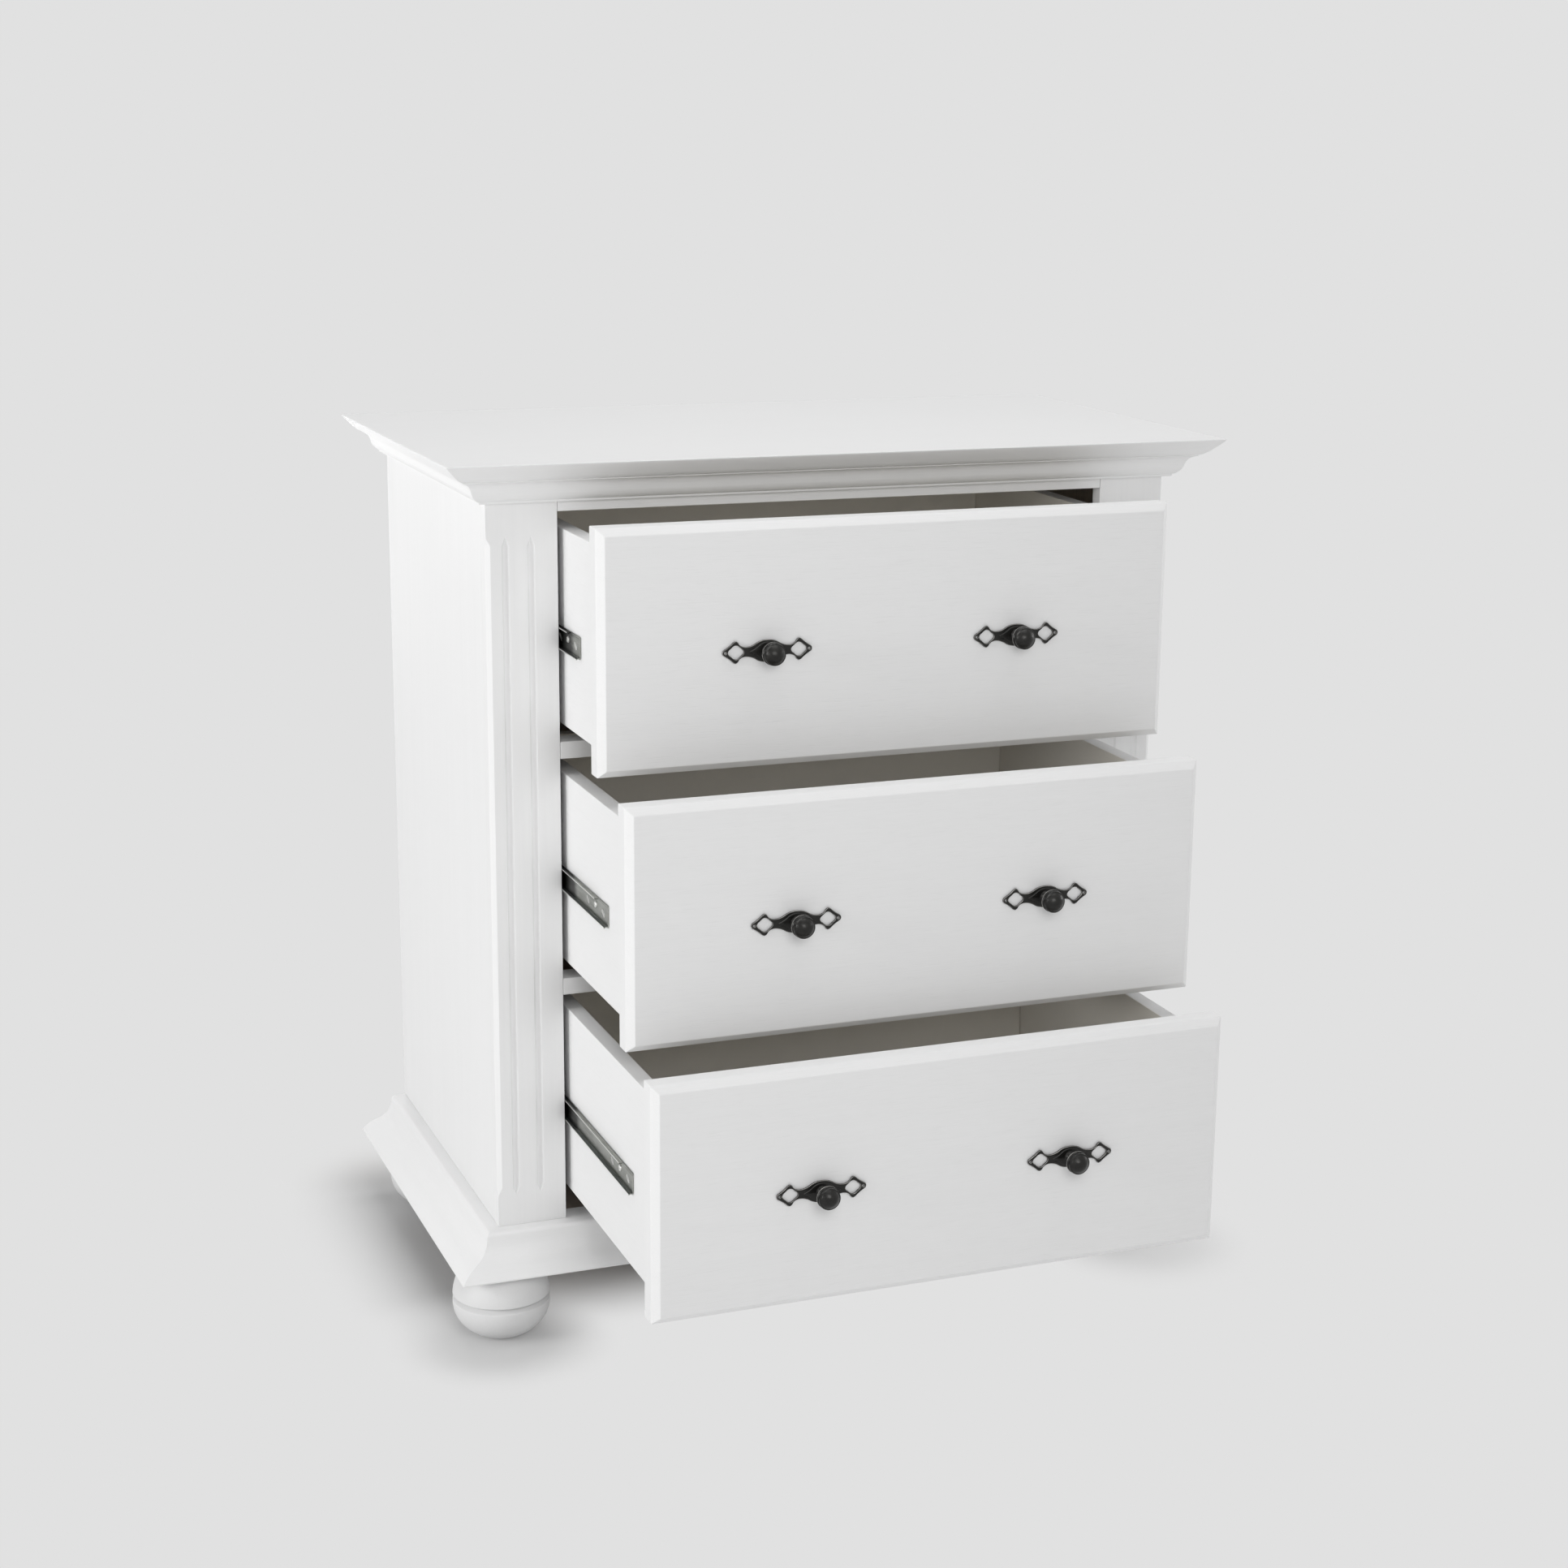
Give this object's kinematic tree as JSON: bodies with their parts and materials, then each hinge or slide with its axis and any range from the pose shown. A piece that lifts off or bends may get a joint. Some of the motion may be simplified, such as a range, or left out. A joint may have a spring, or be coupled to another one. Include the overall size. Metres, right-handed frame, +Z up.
{
  "type": "chest of drawers",
  "caption": "Painted country-style commode chest with moulded top and plinth, fluted pilasters, bun feet, dark iron knobs on pierced plates and drawers on ball slides.",
  "frame": {"origin": "on the floor, under the middle of the chest's box with its drawers pulled out as shown", "axes": "+Z up, +X to the right as seen from the front, +Y to the back, so that the drawers pull out along -Y"},
  "size_m": [0.911, 0.8202, 0.988],
  "materials": {
    "white_paint": "satin white paint over wood grain",
    "bare_board": "matt pale board",
    "black_iron": "satin black casting",
    "zinc_steel": "bright zinc-plated rolled steel"
  },
  "bodies": {
    "case": {"top_board": "white_paint", "cornice_front": "white_paint", "cornice_left": "white_paint", "cornice_right": "white_paint", "plinth_front": "white_paint", "plinth_left": "white_paint", "plinth_right": "white_paint", "side_panel_left": "white_paint", "side_panel_right": "white_paint", "pilaster_left": "white_paint", "pilaster_right": "white_paint", "top_rail": "white_paint", "divider_rail_1": "white_paint", "divider_rail_2": "white_paint", "bottom_board": "bare_board", "back_panel": "bare_board", "foot_front_left": "white_paint", "foot_front_right": "white_paint", "foot_back_left": "white_paint", "foot_back_right": "white_paint", "case_member_upper_left": "zinc_steel", "case_member_upper_right": "zinc_steel", "case_member_middle_left": "zinc_steel", "case_member_middle_right": "zinc_steel", "case_member_lower_left": "zinc_steel", "case_member_lower_right": "zinc_steel"},
    "drawer_upper": {"drawer_upper_front": "white_paint", "drawer_upper_side_left": "white_paint", "drawer_upper_side_right": "white_paint", "drawer_upper_back": "white_paint", "drawer_upper_bottom": "bare_board", "drawer_member_upper_left": "zinc_steel", "drawer_member_upper_right": "zinc_steel", "handle_upper_left": "black_iron", "handle_upper_right": "black_iron"},
    "drawer_middle": {"drawer_middle_front": "white_paint", "drawer_middle_side_left": "white_paint", "drawer_middle_side_right": "white_paint", "drawer_middle_back": "white_paint", "drawer_middle_bottom": "bare_board", "drawer_member_middle_left": "zinc_steel", "drawer_member_middle_right": "zinc_steel", "handle_middle_left": "black_iron", "handle_middle_right": "black_iron"},
    "drawer_lower": {"drawer_lower_front": "white_paint", "drawer_lower_side_left": "white_paint", "drawer_lower_side_right": "white_paint", "drawer_lower_back": "white_paint", "drawer_lower_bottom": "bare_board", "drawer_member_lower_left": "zinc_steel", "drawer_member_lower_right": "zinc_steel", "handle_lower_left": "black_iron", "handle_lower_right": "black_iron"},
    "cage_upper_left": {"ball_cage_upper_left": "zinc_steel"},
    "cage_upper_right": {"ball_cage_upper_right": "zinc_steel"},
    "cage_middle_left": {"ball_cage_middle_left": "zinc_steel"},
    "cage_middle_right": {"ball_cage_middle_right": "zinc_steel"},
    "cage_lower_left": {"ball_cage_lower_left": "zinc_steel"},
    "cage_lower_right": {"ball_cage_lower_right": "zinc_steel"}
  },
  "joints": [
    {"name": "drawer_upper_slide", "type": "slide", "parent": "case", "child": "drawer_upper", "axis": [0, -1, 0], "range_m": [-0.1305, 0.1795]},
    {"name": "drawer_middle_slide", "type": "slide", "parent": "case", "child": "drawer_middle", "axis": [0, -1, 0], "range_m": [-0.222, 0.088]},
    {"name": "drawer_lower_slide", "type": "slide", "parent": "case", "child": "drawer_lower", "axis": [0, -1, 0], "range_m": [-0.302, 0.008]},
    {"name": "cage_upper_left_slide", "type": "slide", "parent": "case", "child": "cage_upper_left", "axis": [0, -1, 0], "range_m": [-0.06525, 0.08975]},
    {"name": "cage_upper_right_slide", "type": "slide", "parent": "case", "child": "cage_upper_right", "axis": [0, -1, 0], "range_m": [-0.06525, 0.08975]},
    {"name": "cage_middle_left_slide", "type": "slide", "parent": "case", "child": "cage_middle_left", "axis": [0, -1, 0], "range_m": [-0.111, 0.044]},
    {"name": "cage_middle_right_slide", "type": "slide", "parent": "case", "child": "cage_middle_right", "axis": [0, -1, 0], "range_m": [-0.111, 0.044]},
    {"name": "cage_lower_left_slide", "type": "slide", "parent": "case", "child": "cage_lower_left", "axis": [0, -1, 0], "range_m": [-0.151, 0.004]},
    {"name": "cage_lower_right_slide", "type": "slide", "parent": "case", "child": "cage_lower_right", "axis": [0, -1, 0], "range_m": [-0.151, 0.004]}
  ],
  "couplings": [
    {"joint": "cage_upper_left_slide", "follows": "drawer_upper_slide", "ratio": 0.5},
    {"joint": "cage_upper_right_slide", "follows": "drawer_upper_slide", "ratio": 0.5},
    {"joint": "cage_middle_left_slide", "follows": "drawer_middle_slide", "ratio": 0.5},
    {"joint": "cage_middle_right_slide", "follows": "drawer_middle_slide", "ratio": 0.5},
    {"joint": "cage_lower_left_slide", "follows": "drawer_lower_slide", "ratio": 0.5},
    {"joint": "cage_lower_right_slide", "follows": "drawer_lower_slide", "ratio": 0.5}
  ]
}
